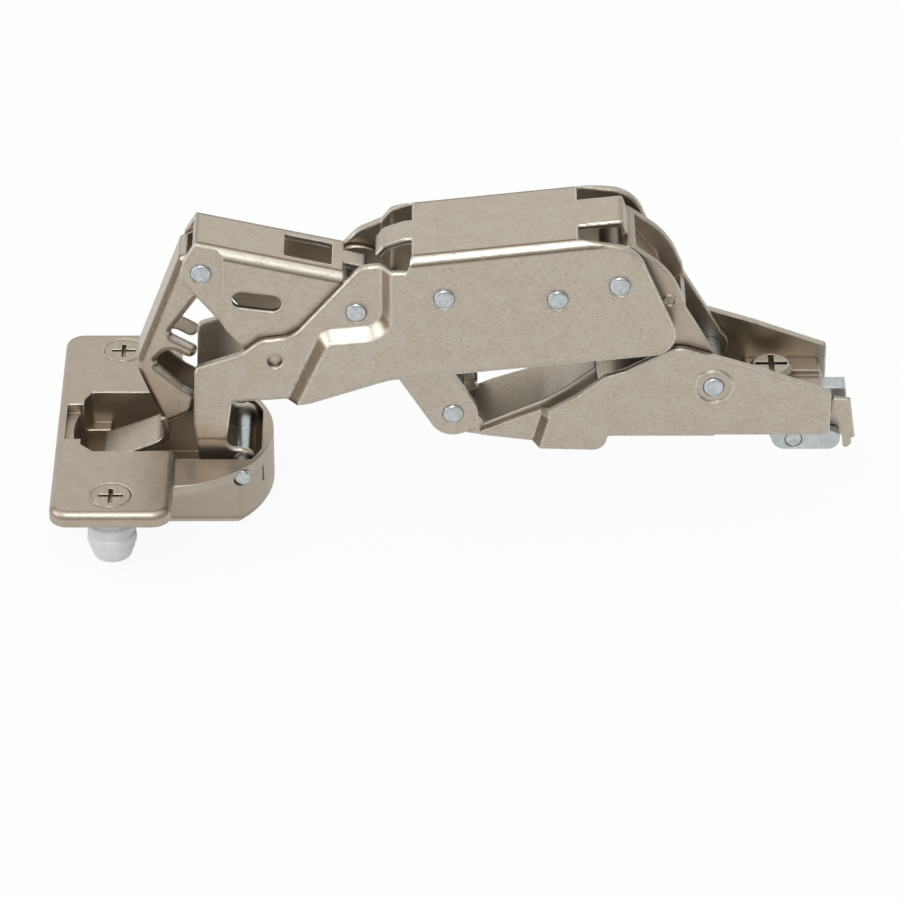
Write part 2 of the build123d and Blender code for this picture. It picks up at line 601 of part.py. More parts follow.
with BuildPart() as rear_link:
    with BuildSketch(Plane.XZ):
        outline(link_outline)
        disc(LINK_AXLE, LINK_HEAD_R)
        disc(REAR_AXLE, LINK_FOOT_R)
    extrude(amount=LINK_HALF, both=True)
    with BuildSketch(Plane.XZ):
        outline(link_pocket)
    extrude(amount=LINK_HALF - LINK_RIM, both=True, mode=Mode.SUBTRACT)
    with BuildSketch(Plane.XZ):
        outline(link_rib)
    extrude(amount=LINK_HALF - LINK_RIM, both=True)
    for side in (1, -1):
        with BuildSketch(Plane.XZ.offset(side * LINK_HALF)):
            disc(along(LINK_AXLE, REAR_AXLE, 9.1, 3.8)[:2], LINK_EMBOSS_R)
            disc(along(LINK_AXLE, REAR_AXLE, 9.1, 3.8)[:2], LINK_EMBOSS_R - LINK_EMBOSS * 2, Mode.SUBTRACT)
        extrude(amount=side * LINK_EMBOSS)
    holes([LINK_AXLE, REAR_AXLE], HOLE_R)
write(rear_link.part, "rear_link")
write(axle(REAR_AXLE, ARM_HALF + AXLE_PROUD, AXLE_R), "rear_axle")

# Closing spring: a coil on its axle, one leg up under the web and one under the stop axle
coil_turns = SPRING_TURNS + (180.0 + SPRING_LOWER_TILT - SPRING_UPPER_TILT) / 360
coil_height = coil_turns * SPRING_PITCH
coil_plane = Plane(
    origin=(SPRING_AXLE[0], -coil_height / 2, SPRING_AXLE[1]),
    x_dir=(sin(radians(SPRING_UPPER_TILT)), 0, cos(radians(SPRING_UPPER_TILT))),
    z_dir=(0, 1, 0),
)
with BuildPart() as closing_spring:
    with BuildLine() as coil:
        turns = Helix(SPRING_PITCH, coil_height, SPRING_COIL_R)
        Line(turns @ 0 - (turns % 0) * SPRING_LEG, turns @ 0)
        Line(turns @ 1, turns @ 1 + (turns % 1) * SPRING_LEG)
    spring_path = coil.wire()
    with BuildSketch(Plane(origin=spring_path @ 0, z_dir=spring_path % 0)):
        Circle(SPRING_WIRE / 2)
    sweep(path=spring_path, is_frenet=True)
write(closing_spring.part.moved(coil_plane.location), "closing_spring")

# Base arm: an open channel, set in at its nose
arm_outline = [
    near(FRONT_AXLE, 4.9, -3.4, 0.2),
    near(FRONT_AXLE, 15.6, 1.2, 3.0),
    near(REAR_AXLE, -22.8, -1.9, 6.0),
    near(REAR_AXLE, -18.2, 2.0, 1.5),
    near(REAR_AXLE, -15.0, 3.1, 2.0),
    near(REAR_AXLE, -6.4, 8.0, 4.5),
    near(REAR_AXLE, 7.0, 3.6, 10.0),
    (ARM_REAR_X, REAR_AXLE[1] - 1.3, 0.5),
    (ARM_REAR_X, ARM_FLOOR_Z, 0.5),
    (FRONT_AXLE_X + 26.2, ARM_FLOOR_Z, 0.5),
    (FRONT_AXLE_X + 25.6, ARM_FLOOR_Z - 2.9, 2.4),
    (FRONT_AXLE_X + 14.8, ARM_FLOOR_Z - 2.6, 1.0),
    (FRONT_AXLE_X + 13.4, ARM_FLOOR_Z - 2.1, 0.5),
    near(FRONT_AXLE, 4.4, -4.1, 0.2),
]
nose_narrow = [(-FAR, FAR, 0), near(FRONT_AXLE, 14.8, FAR), near(FRONT_AXLE, 14.8, 0), near(FRONT_AXLE, 13.2, -6.0),
               near(FRONT_AXLE, 13.2, -FAR), (-FAR, -FAR, 0)]
nose_wide = [(x + (NOSE_STEP_RUN if x > -FAR else 0), z, r) for x, z, r in nose_narrow]
foot_narrow = [(CLIP_AXLE[0] - 13.5, -FAR, 0), (CLIP_AXLE[0] - 13.5, ARM_FLOOR_Z + 0.2, 0),
               (CLIP_AXLE[0] - 5.7, ARM_FLOOR_Z + 3.8, 0), (FAR, ARM_FLOOR_Z + 3.8, 0), (FAR, -FAR, 0)]
with BuildPart() as arm_cavity:
    with BuildSketch(Plane.XZ):
        outline([(-FAR, -FAR, 0), (FRONT_AXLE_X + 27.5, -FAR, 0), (FRONT_AXLE_X + 27.5, ARM_FLOOR_Z + ARM_SHEET, 0),
                 (CLIP_AXLE[0] - 8.0, ARM_FLOOR_Z + ARM_SHEET, 0), (CLIP_AXLE[0] - 8.0, -FAR, 0), (FAR, -FAR, 0),
                 (FAR, FAR, 0), (-FAR, FAR, 0)])
    extrude(amount=ARM_INSIDE, both=True)
    side_wedge(nose_narrow, nose_wide, NOSE_HALF - ARM_SHEET, ARM_INSIDE, Mode.SUBTRACT)
with BuildPart() as base_arm:
    with BuildSketch(Plane.XZ):
        outline(arm_outline)
    extrude(amount=ARM_HALF, both=True)
    side_wedge(nose_narrow, nose_wide, NOSE_HALF, ARM_HALF, Mode.SUBTRACT)
    add(arm_cavity.part, mode=Mode.SUBTRACT)
    for side in (1, -1):
        with BuildSketch(Plane.XZ.offset(side * ARM_HALF)):
            disc(REAR_AXLE, EMBOSS_RING_R)
            disc(REAR_AXLE, EMBOSS_RING_R - EMBOSS_RING_W, Mode.SUBTRACT)
        extrude(amount=side * EMBOSS_RING_H)
        with BuildSketch(Plane.XZ.offset(side * ARM_HALF)):
            outline(foot_narrow)
        extrude(amount=-side * ARM_CREASE, mode=Mode.SUBTRACT)
    holes([REAR_AXLE], HOLE_R)
write(base_arm.part, "base_arm")

# Inner arm: a ramp folded down at both sides, with ears for the front axle, held in the base arm's nose.
# Its top leans up to the rear side, where the photo shows sheet and no background
ear_foot = [
    near(FRONT_AXLE, -0.5, -INNER_EAR_R + 0.5, 0.3), near(FRONT_AXLE, 3.4, 0, 0.5),
    near(FRONT_AXLE, 5.2, -2.2, 1.0), near(FRONT_AXLE, 5.2, -4.0, 0.5),
]


def ramp_top(share, drop):
    """The ramp's upper line with a share of its lean, dropped for the hollow's roof."""
    corners = ((1.8, -4.4, RAMP_LEAN, 0), (6.6, -2.14, RAMP_LEAN, 0), (15.6, 2.1, RAMP_LEAN / 2, 8.0),
               (18.9, 4.3, RAMP_LEAN / 4, 8.0), (24.0, 8.5, 0, 0))
    return [near(FRONT_AXLE, dx, dz + share * lean - drop, r) for dx, dz, lean, r in corners]


def ramp_body(share):
    """The ramp's side outline."""
    return ramp_top(share, 0) + [
        near(FRONT_AXLE, 24.6, 5.2, 0.5), near(FRONT_AXLE, 19.0, -1.5, 1.0),
        near(FRONT_AXLE, 12.5, -3.4, 1.0), near(FRONT_AXLE, 4.6, -4.9, 0.5),
    ]


def ramp_hollow(share):
    """The outline of the space under the ramp."""
    roof = ramp_top(share, ARM_SHEET + RAMP_DRAFT)
    left, right = roof[0], roof[-1]
    return [(left[0] - FAR, left[1] - FAR, 0), (left[0] - FAR, left[1], 0), *roof,
            (right[0] + FAR, right[1], 0), (right[0] + FAR, left[1] - FAR, 0)]


def ramp_loft(shape, half, mode):
    """Joins a ramp outline at the front side to the one at the rear side."""
    lean_share = (INNER_ARM_HALF + half) / (2 * INNER_ARM_HALF)
    with BuildSketch(Plane.XZ.offset(half)) as front:
        outline(shape(1 - lean_share))
    with BuildSketch(Plane.XZ.offset(-half)) as rear:
        outline(shape(lean_share))
    loft([front.sketch, rear.sketch], ruled=True, mode=mode)


with BuildPart() as inner_arm:
    ramp_loft(ramp_body, INNER_ARM_HALF, Mode.ADD)
    ramp_faces = inner_arm.faces().filter_by(lambda face: face.normal_at().Z > 0.5)
    ramp_folds = [edge for face in ramp_faces for edge in face.edges()
                  if abs(edge.center().Y) > INNER_ARM_HALF - NOSE_GAP]
    fillet(ramp_folds, RAMP_BEND_R)
    ramp_loft(ramp_hollow, INNER_ARM_HALF - ARM_SHEET, Mode.SUBTRACT)
    for side in (1, -1):
        with BuildSketch(Plane.XZ.offset(side * INNER_ARM_HALF)):
            outline(ear_foot)
            disc(FRONT_AXLE, INNER_EAR_R)
        extrude(amount=-side * ARM_SHEET)
    holes([FRONT_AXLE], HOLE_R)
write(inner_arm.part, "inner_arm")
write(axle(FRONT_AXLE, CROSS_HALF + AXLE_PROUD, AXLE_R), "front_axle")

# Clip block: the zinc body at the rear that grips the mounting plate
block_half = ARM_INSIDE - BLOCK_GAP
block_top = REAR_AXLE[1] - BLOCK_BELOW_AXLE
screw_x = ARM_REAR_X - DEPTH_SCREW_BACK
lug_foot = ARM_FLOOR_Z + LUG_ABOVE_FLOOR
block_outline = [
    (screw_x - 4.4, ARM_FLOOR_Z + 1.3, 0.6), (screw_x - 4.4, block_top, 0.8),
    (ARM_REAR_X - 1.4, block_top, 0.6), (ARM_REAR_X - 0.6, lug_foot, 0.3),
    (ARM_REAR_X - 0.6, ARM_FLOOR_Z + 0.4, 0.5), (ARM_REAR_X + 1.9, ARM_FLOOR_Z - 0.5, 0.8),
    (ARM_REAR_X + 1.9, ARM_FLOOR_Z - 3.5, 2.0), (CLIP_AXLE[0] - 2.9, ARM_FLOOR_Z - 3.5, 2.2),
    (CLIP_AXLE[0] - 4.4, ARM_FLOOR_Z - 0.1, 0.4), (screw_x - 0.4, ARM_FLOOR_Z + 1.3, 0.4),
]
lug_outline = [
    (ARM_REAR_X - 2.4, lug_foot, 0.3), (ARM_REAR_X - 2.4, lug_foot + LUG_HEIGHT, 0.3),
    (ARM_REAR_X + LUG_REACH, lug_foot + LUG_HEIGHT, 1.1), (ARM_REAR_X + LUG_REACH, lug_foot, 1.1),
]
with BuildPart() as clip_block:
    with BuildSketch(Plane.XZ):
        outline(block_outline)
    extrude(amount=block_half, both=True)
    with BuildSketch(Plane.XZ):
        outline(lug_outline)
    extrude(amount=LUG_HALF, both=True)
    with BuildSketch(Plane.XY):
        with Locations((screw_x, 0)):
            Circle(DEPTH_SCREW_STEM_R + SCREW_GAP)
    extrude(amount=FAR, mode=Mode.SUBTRACT)
    with Locations((screw_x + DEPTH_SCREW_R, RACK_SHIFT, block_top)):
        Box(FAR, RACK_WIDTH, 2 * RACK_DEPTH, align=(Align.MIN, Align.CENTER, Align.CENTER), mode=Mode.SUBTRACT)
    with BuildSketch(Plane.XZ):
        outline([(CLIP_AXLE[0] - 2.6, -FAR, 0), (CLIP_AXLE[0] - 2.6, ARM_FLOOR_Z + 1.4, 0),
                 (ARM_REAR_X - 1.6, lug_foot - CLIP_GAP, 0), (FAR, lug_foot - CLIP_GAP, 0), (FAR, -FAR, 0)])
    extrude(amount=CLIP_HALF + CLIP_GAP, both=True, mode=Mode.SUBTRACT)
    holes([CLIP_AXLE], CLIP_PIN_R + AXLE_GAP)
write(clip_block.part, "clip_block")
write(axle(CLIP_AXLE, block_half, CLIP_PIN_R), "clip_pin")

# Release lever: two cheeks on the clip pin joined by a web, the front one with a hooked end
cheek_arm = [
    (CLIP_AXLE[0] - 2.1, CLIP_AXLE[1] + 0.4, 1.5), (CLIP_AXLE[0] - 1.0, CLIP_AXLE[1] + 2.3, 1.2),
    (ARM_REAR_X - 0.8, ARM_FLOOR_Z + 2.0, 0.4), (ARM_REAR_X - 0.8, ARM_FLOOR_Z - 1.0, 0.6),
    (CLIP_AXLE[0] + 1.5, CLIP_AXLE[1] - 1.9, 1.2),
]
hook_plate = [
    (ARM_REAR_X - 1.6, ARM_FLOOR_Z + 2.0, 0.3), (ARM_REAR_X + 0.3, ARM_FLOOR_Z + 2.3, 0.4),
    (ARM_REAR_X + 0.5, ARM_FLOOR_Z + 5.2, 0.5), (ARM_REAR_X + 3.6, ARM_FLOOR_Z + 4.9, 0.5),
    (ARM_REAR_X + 4.6, ARM_FLOOR_Z - 2.5, 0.4), (ARM_REAR_X + 3.9, ARM_FLOOR_Z - 2.8, 0.2),
    (ARM_REAR_X + 4.1, ARM_FLOOR_Z - 3.8, 0.3), (ARM_REAR_X + 3.2, ARM_FLOOR_Z - 4.8, 0.5),
    (ARM_REAR_X + 2.6, ARM_FLOOR_Z - 4.4, 0.4), (ARM_REAR_X + 2.3, ARM_FLOOR_Z - 2.0, 0.5),
    (ARM_REAR_X - 1.6, ARM_FLOOR_Z - 0.6, 0.3),
]
with BuildPart() as clip_lever:
    with BuildSketch(Plane.XZ):
        outline(cheek_arm)
    extrude(amount=CLIP_HALF, both=True)
    with BuildSketch(Plane.XZ):
        outline([(-FAR, -FAR, 0), (ARM_REAR_X - 0.8 - CLIP_SHEET, -FAR, 0),
                 (ARM_REAR_X - 0.8 - CLIP_SHEET, FAR, 0), (-FAR, FAR, 0)])
    extrude(amount=CLIP_HALF - CLIP_SHEET, both=True, mode=Mode.SUBTRACT)
    with BuildSketch(Plane.XZ.offset(CLIP_HALF)):
        outline(hook_plate)
    extrude(amount=-CLIP_SHEET)
    holes([CLIP_AXLE], CLIP_PIN_R + AXLE_GAP)
write(clip_lever.part, "clip_lever")

# Depth screw: a broad cross-slotted head on the clip block
head_foot = block_top + AXLE_GAP
with BuildPart() as depth_screw:
    with BuildSketch(Plane.XY.offset(head_foot)):
        Circle(DEPTH_SCREW_R)
    extrude(amount=DEPTH_SCREW_HEAD)
    chamfer(depth_screw.faces().sort_by(Axis.Z)[-1].edges(), DEPTH_SCREW_CHAMFER)
    with BuildSketch(Plane.XY.offset(head_foot)):
        Circle(DEPTH_SCREW_STEM_R)
    extrude(amount=-(block_top - ARM_FLOOR_Z - ARM_SHEET))
    with BuildSketch(Plane.XY.offset(head_foot + DEPTH_SCREW_HEAD)):
        Rectangle(DEPTH_SLOT_LENGTH, DEPTH_SLOT_WIDTH)
        Rectangle(DEPTH_SLOT_WIDTH, DEPTH_SLOT_LENGTH)
    extrude(amount=-DEPTH_SLOT_DEPTH, mode=Mode.SUBTRACT)
write(depth_screw.part.moved(Location((screw_x, 0, 0))), "depth_screw")
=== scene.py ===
"""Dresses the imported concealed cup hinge.

It wears plated sheet, cast zinc, riveted axles and nylon dowels.
"""

import json
import logging
import math
from dataclasses import dataclass, field
from enum import Enum
from typing import Any, Iterable, Mapping, Sequence

import bpy
import bmesh
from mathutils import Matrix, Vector


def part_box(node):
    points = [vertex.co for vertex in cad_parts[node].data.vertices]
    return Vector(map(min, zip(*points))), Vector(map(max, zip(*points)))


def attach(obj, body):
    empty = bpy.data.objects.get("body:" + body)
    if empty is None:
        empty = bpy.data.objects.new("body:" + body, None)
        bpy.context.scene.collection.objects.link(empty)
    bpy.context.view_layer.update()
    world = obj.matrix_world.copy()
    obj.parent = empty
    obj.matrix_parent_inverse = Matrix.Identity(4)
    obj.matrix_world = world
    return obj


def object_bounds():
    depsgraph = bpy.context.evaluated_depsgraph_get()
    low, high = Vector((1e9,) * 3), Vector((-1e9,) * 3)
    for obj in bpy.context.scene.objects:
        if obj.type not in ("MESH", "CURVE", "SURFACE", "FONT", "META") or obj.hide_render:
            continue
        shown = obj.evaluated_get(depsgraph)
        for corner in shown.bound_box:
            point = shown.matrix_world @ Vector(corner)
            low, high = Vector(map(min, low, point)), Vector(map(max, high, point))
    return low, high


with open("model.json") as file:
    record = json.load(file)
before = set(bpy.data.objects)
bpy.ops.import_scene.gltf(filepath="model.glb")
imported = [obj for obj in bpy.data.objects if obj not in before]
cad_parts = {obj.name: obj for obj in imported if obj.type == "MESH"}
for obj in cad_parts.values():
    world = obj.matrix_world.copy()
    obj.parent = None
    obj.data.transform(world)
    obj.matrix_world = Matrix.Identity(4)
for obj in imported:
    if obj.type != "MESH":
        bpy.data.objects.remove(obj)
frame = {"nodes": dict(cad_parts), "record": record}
CAD_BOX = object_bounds()

MM = 0.001
Colour = tuple[float, float, float]
Triple = tuple[float, float, float]
Span = tuple[float, float]

# The sockets of the Mix node that belong to its colour mode.
MIX_FACTOR, MIX_LOW, MIX_HIGH, MIX_RESULT = 0, 6, 7, 2
NOISE_ROUGHNESS = 0.55

log = logging.getLogger("hinge")


class Signal:
    """A shader socket that takes part in Python expressions."""

    def __init__(self, graph: "Graph", socket: bpy.types.NodeSocket) -> None:
        """Keeps the graph that owns the socket.

        Args:
            graph: the graph in which new nodes are made.
            socket: the output socket that carries the value.
        """
        self.graph = graph
        self.socket = socket

    def _math(self, operation: str, *values: "Signal | float") -> "Signal":
        """Adds one Math node.

        Args:
            operation: the node's operation.
            values: the node's inputs in order.

        Returns:
            The result as a signal.
        """
        return self.graph.add("ShaderNodeMath", {"operation": operation}, dict(enumerate(values)))

    def __add__(self, other: "Signal | float") -> "Signal":
        """Sum."""
        return self._math("ADD", self, other)

    def __radd__(self, other: float) -> "Signal":
        """Sum with a number first."""
        return self._math("ADD", other, self)

    def __sub__(self, other: "Signal | float") -> "Signal":
        """Difference."""
        return self._math("SUBTRACT", self, other)

    def __rsub__(self, other: float) -> "Signal":
        """Difference from a number."""
        return self._math("SUBTRACT", other, self)

    def __mul__(self, other: "Signal | float") -> "Signal":
        """Product."""
        return self._math("MULTIPLY", self, other)

    def __rmul__(self, other: float) -> "Signal":
        """Product with a number first."""
        return self._math("MULTIPLY", other, self)

    def size(self) -> "Signal":
        """The value without its sign."""
        return self._math("ABSOLUTE", self)

    def between(self, low: float, high: float) -> "Signal":
        """Rises smoothly from 0 at low to 1 at high.

        Args:
            low: the value that gives 0.
            high: the value that gives 1.

        Returns:
            The eased signal.
        """
        settings = {"interpolation_type": "SMOOTHSTEP"}
        inputs = {"Value": self, "From Min": low, "From Max": high}
        return self.graph.add("ShaderNodeMapRange", settings, inputs)


class Graph:
    """The nodes of a material or of the world, under construction."""

    def __init__(self, tree: bpy.types.NodeTree, output: str) -> None:
        """Empties a tree and gives it an output.

        Args:
            tree: the material's or the world's node tree.
            output: the type of the output node.
        """
        self.tree = tree
        self.tree.nodes.clear()
        self.output = self.tree.nodes.new(output)

    @staticmethod
    def material(name: str) -> "tuple[Graph, bpy.types.Material]":
        """Makes a material and its graph.

        Args:
            name: the material's name.

        Returns:
            The graph and the material.
        """
        material = bpy.data.materials.new(name)
        material.use_nodes = True
        return Graph(material.node_tree, "ShaderNodeOutputMaterial"), material

    def add(
        self,
        kind: str,
        settings: Mapping[str, Any] | None = None,
        inputs: Mapping[str | int, Any] | None = None,
        output: str | int = 0,
    ) -> Signal:
        """Adds a node, sets it up and connects it.

        Args:
            kind: the node's type.
            settings: attributes, set before the inputs.
            inputs: values or signals by socket name or number.
            output: the output to return.

        Returns:
            The chosen output.
        """
        node = self.tree.nodes.new(kind)
        for key, value in (settings or {}).items():
            setattr(node, key, value)
        for key, value in (inputs or {}).items():
            if isinstance(value, Signal):
                self.tree.links.new(value.socket, node.inputs[key])
            else:
                node.inputs[key].default_value = value
        return Signal(self, node.outputs[output])

    def mix(self, factor: Signal | float, low: Signal | Colour, high: Signal | Colour) -> Signal:
        """Mixes two colours.

        Args:
            factor: 0 gives low, 1 gives high.
            low: the first colour.
            high: the second colour.

        Returns:
            The mixed colour.
        """
        pair = [value if isinstance(value, Signal) else (*value, 1.0) for value in (low, high)]
        inputs = {MIX_FACTOR: factor, MIX_LOW: pair[0], MIX_HIGH: pair[1]}
        return self.add("ShaderNodeMix", {"data_type": "RGBA"}, inputs, MIX_RESULT)

    def noise(self, place: Signal, grain_mm: float, detail: float = 3.0) -> Signal:
        """Noise with a grain of a given size.

        Args:
            place: the coordinates in metres.
            grain_mm: the size of one grain.
            detail: how many finer layers it has.

        Returns:
            The noise, about 0.3 to 0.7.
        """
        inputs = {
            "Vector": place,
            "Scale": 1.0 / (grain_mm * MM),
            "Detail": detail,
            "Roughness": NOISE_ROUGHNESS,
        }
        return self.add("ShaderNodeTexNoise", None, inputs)

    def stretched(self, place: Signal, along: Triple) -> Signal:
        """Coordinates pressed together, for a grain with a direction.

        Args:
            place: the coordinates.
            along: the factor on each axis.

        Returns:
            The changed coordinates.
        """
        inputs = {"Vector": place, "Scale": along}
        return self.add("ShaderNodeMapping", {"vector_type": "POINT"}, inputs)

    def finish(self, surface: Signal) -> None:
        """Connects the surface.

        Args:
            surface: the shader to show.
        """
        self.tree.links.new(surface.socket, self.output.inputs["Surface"])


@dataclass(frozen=True)
class WearAndLight:
    """The worn marks, painted highlights and painted shade that all the metals share.

    A pair says where a mask starts and where it is full. A turn is how far a softened edge leans
    from its face, and a slant is how far a rounded fold stands between the side and the top.

    Args:
        patches: the noise of the darker patches.
        specks: the noise of the specks.
        scratches: the noise of the fine grain.
        shut_in: how shut in a crevice is.
        rub_highlight_turn: the turn of a worn edge that gets a painted highlight.
        rub_highlight_air: how open the air round that edge is.
        rub_highlight_grain: the grain that breaks that painted highlight up.
        line_turn: the turn at which the painted shade line beside an edge starts.
        line_end: the turn at which that line ends.
        line_specks: the specks that break that line up.
        fold_slant: the slant of a fold that gets a painted highlight.
        fold_grain: the grain that breaks that painted highlight up.
        side_slant: the slant at which the painted shade line beside a fold starts.
        side_end: the slant at which that line ends.
        side_specks: the specks that break that line up.
        grain_mm: the size of the fine grain.
        grain_detail: how many finer layers it has.
        speck_mm: the size of the specks.
        speck_detail: how many finer layers they have.
        fold_highlight: how strongly a fold gets its painted highlight.
        side_brown: how dark the painted shade line beside a fold is.
        line_brown: how dark the painted shade line beside an edge is.
        speck_tint: how strongly the specks are tinted.
        scratch_tint: how strongly the grain is tinted.
        patch_rough: how much the patches change the roughness.
        grain_rough: how much the grain changes the roughness.
        crevice_rough: how much rougher a crevice is.
        rub_smooth: how much smoother a worn edge is.
        grain_height: the grain's share of the scuffs' height; the specks have the rest.
        scuff_strength: how strongly the scuffs are seen.
    """

    patches: Span = (0.36, 0.64)
    specks: Span = (0.48, 0.72)
    scratches: Span = (0.42, 0.62)
    shut_in: Span = (0.36, 0.88)
    rub_highlight_turn: Span = (0.035, 0.11)
    rub_highlight_air: Span = (0.40, 0.75)
    rub_highlight_grain: Span = (0.28, 0.52)
    line_turn: Span = (0.002, 0.012)
    line_end: Span = (0.03, 0.09)
    line_specks: Span = (0.20, 0.45)
    fold_slant: Span = (0.26, 0.44)
    fold_grain: Span = (0.20, 0.50)
    side_slant: Span = (0.03, 0.14)
    side_end: Span = (0.20, 0.34)
    side_specks: Span = (0.15, 0.45)
    grain_mm: float = 0.35
    grain_detail: float = 2.0
    speck_mm: float = 0.5
    speck_detail: float = 4.0
    fold_highlight: float = 0.7
    side_brown: float = 0.8
    line_brown: float = 0.75
    speck_tint: float = 0.30
    scratch_tint: float = 0.16
    patch_rough: float = 0.10
    grain_rough: float = 0.12
    crevice_rough: float = 0.12
    rub_smooth: float = 0.08
    grain_height: float = 0.6
    scuff_strength: float = 0.35


@dataclass(frozen=True)
class PlatedMetal:
    """A metal under thin plating.

    It has soft mottling, fine scuffs, painted highlights on worn edges and folds, and painted shade
    in crevices and beside edges.

    Args:
        name: the material's name.
        colour: the plating on open faces.
        deep: the tint of the darker patches.
        edge: the painted highlight on bends and on worn cut edges.
        grime_and_shade: the brown of the painted shade in crevices, where there is some dirt too,
            and of the painted shade line beside an edge or a fold.
        roughness: the mean roughness.
        mottle_mm: the size of the patches.
        scuff: the height of the scuffs in millimetres.
        streak: how the grain is pressed together on each axis.
        edge_mm: the width of the softened edges.
        crevice_mm: how far from another wall the painted shade starts.
        shaded: how strongly crevices and edge lines are darkened with painted shade.
        folds: how strongly the rounded folds along the hinge get a painted highlight on top and
            painted shade beside.
        mark: the tint of specks and grain, and of the whole marked area where there is one.
        mark_depth: how deep the marked area is pressed in, in millimetres.
        wear_and_light: the worn marks, painted highlights and painted shade that the metals share.
    """

    name: str
    colour: Colour
    deep: Colour
    edge: Colour
    roughness: float
    # The brown of the painted shade, with some dirt in crevices.
    grime_and_shade: Colour = (0.16, 0.115, 0.065)
    mottle_mm: float = 3.0
    scuff: float = 0.006
    streak: Triple = (0.35, 1.0, 1.0)
    edge_mm: float = 0.55
    crevice_mm: float = 2.0
    shaded: float = 0.9
    folds: float = 0.0
    mark: Colour = (0.30, 0.25, 0.19)
    mark_depth: float = 0.0
    wear_and_light: WearAndLight = WearAndLight()

    def marked(self, graph: Graph, place: Signal) -> Signal | None:
        """Says where the marked area is; plain metal has none.

        Args:
            graph: the material's graph.
            place: the Object coordinates.

        Returns:
            The area's mask, or None.
        """
        return None

    def material(self) -> bpy.types.Material:
        """Builds the finish.

        Returns:
            The material.
        """
        wear_and_light = self.wear_and_light
        graph, material = Graph.material(self.name)
        place = graph.add("ShaderNodeTexCoord", output="Object")
        area = self.marked(graph, place)
        patches = graph.noise(place, self.mottle_mm)
        grain_place = graph.stretched(place, self.streak)
        grain = graph.noise(grain_place, wear_and_light.grain_mm, wear_and_light.grain_detail)
        specks = graph.noise(place, wear_and_light.speck_mm, wear_and_light.speck_detail)
        soft, turned, open_air = self._edges(graph)
        slant = self._slant(graph)

        # Painted shade in shut-in crevices, with some brown dirt there too.
        crevice = (1.0 - open_air).between(*wear_and_light.shut_in)
        # Painted highlight on worn convex edges that stand in open air.
        rub_highlight = turned.between(*wear_and_light.rub_highlight_turn) * open_air.between(*wear_and_light.rub_highlight_air)
        rub_highlight = rub_highlight * grain.between(*wear_and_light.rub_highlight_grain)
        # A painted shade line beside each softened edge.
        beside = turned.between(*wear_and_light.line_turn) * (1.0 - turned.between(*wear_and_light.line_end))
        beside = beside * specks.between(*wear_and_light.line_specks)
        # Painted highlight on rounded folds, set by how far the face slants between side and top.
        folded = slant.between(*wear_and_light.fold_slant) * grain.between(*wear_and_light.fold_grain)
        folded = folded * (self.folds * wear_and_light.fold_highlight)
        # Painted shade along both sides of those folds.
        fold_side = slant.between(*wear_and_light.side_slant) * (1.0 - slant.between(*wear_and_light.side_end))
        fold_side = fold_side * (self.folds * wear_and_light.side_brown)

        plain = graph.mix(patches.between(*wear_and_light.patches), self.deep, self.colour)
        base = graph.mix(area, plain, self.mark) if area else plain
        dots = specks.between(*wear_and_light.specks) * wear_and_light.speck_tint
        dots = dots + grain.between(*wear_and_light.scratches) * wear_and_light.scratch_tint
        worn = graph.mix(dots, base, self.mark)
        lines = beside * wear_and_light.line_brown + fold_side * specks.between(*wear_and_light.side_specks)
        shaded = graph.mix(lines * self.shaded, worn, self.grime_and_shade)
        browned = graph.mix(crevice * self.shaded, shaded, self.grime_and_shade)
        tint = graph.mix(rub_highlight + folded, browned, self.edge)

        rough = self.roughness + (patches - 0.5) * wear_and_light.patch_rough
        rough = rough + (grain - 0.5) * wear_and_light.grain_rough
        rough = rough + crevice * wear_and_light.crevice_rough - rub_highlight * wear_and_light.rub_smooth
        bump = {
            "Strength": wear_and_light.scuff_strength,
            "Distance": self.scuff * MM,
            "Height": grain * wear_and_light.grain_height + specks * (1.0 - wear_and_light.grain_height),
            "Normal": soft,
        }
        normal = graph.add("ShaderNodeBump", None, bump)
        if area and self.mark_depth:
            depth = self.mark_depth * MM
            press = {"Distance": depth, "Height": 1.0 - area, "Normal": normal}
            normal = graph.add("ShaderNodeBump", None, press)
        inputs = {"Base Color": tint, "Metallic": 1.0, "Roughness": rough, "Normal": normal}
        graph.finish(graph.add("ShaderNodeBsdfPrincipled", None, inputs))
        return material

    def _edges(self, graph: Graph) -> tuple[Signal, Signal, Signal]:
        """Reads the edges and the crevices.

        Args:
            graph: the material's graph.

        Returns:
            The softened direction, how far it turns from the face, and the open air round a point.
        """
        soft = graph.add("ShaderNodeBevel", {"samples": 4}, {"Radius": self.edge_mm * MM})
        flat = graph.add("ShaderNodeNewGeometry", output="Normal")
        pair = {0: soft, 1: flat}
        facing = graph.add("ShaderNodeVectorMath", {"operation": "DOT_PRODUCT"}, pair, "Value")
        reach = {"Distance": self.crevice_mm * MM}
        open_air = graph.add("ShaderNodeAmbientOcclusion", {"samples": 6}, reach, "AO")
        return soft, 1.0 - facing, open_air

    @staticmethod
    def _slant(graph: Graph) -> Signal:
        """Says how far a face stands between the hinge's side and its top.

        Args:
            graph: the material's graph.

        Returns:
            0 on a side or a top, 0.5 halfway between them.
        """
        heading = graph.add("ShaderNodeTexCoord", output="Normal")
        across, upward = (
            graph.add("ShaderNodeSeparateXYZ", None, {0: heading}, axis) for axis in "YZ")
        return (across * upward).size()


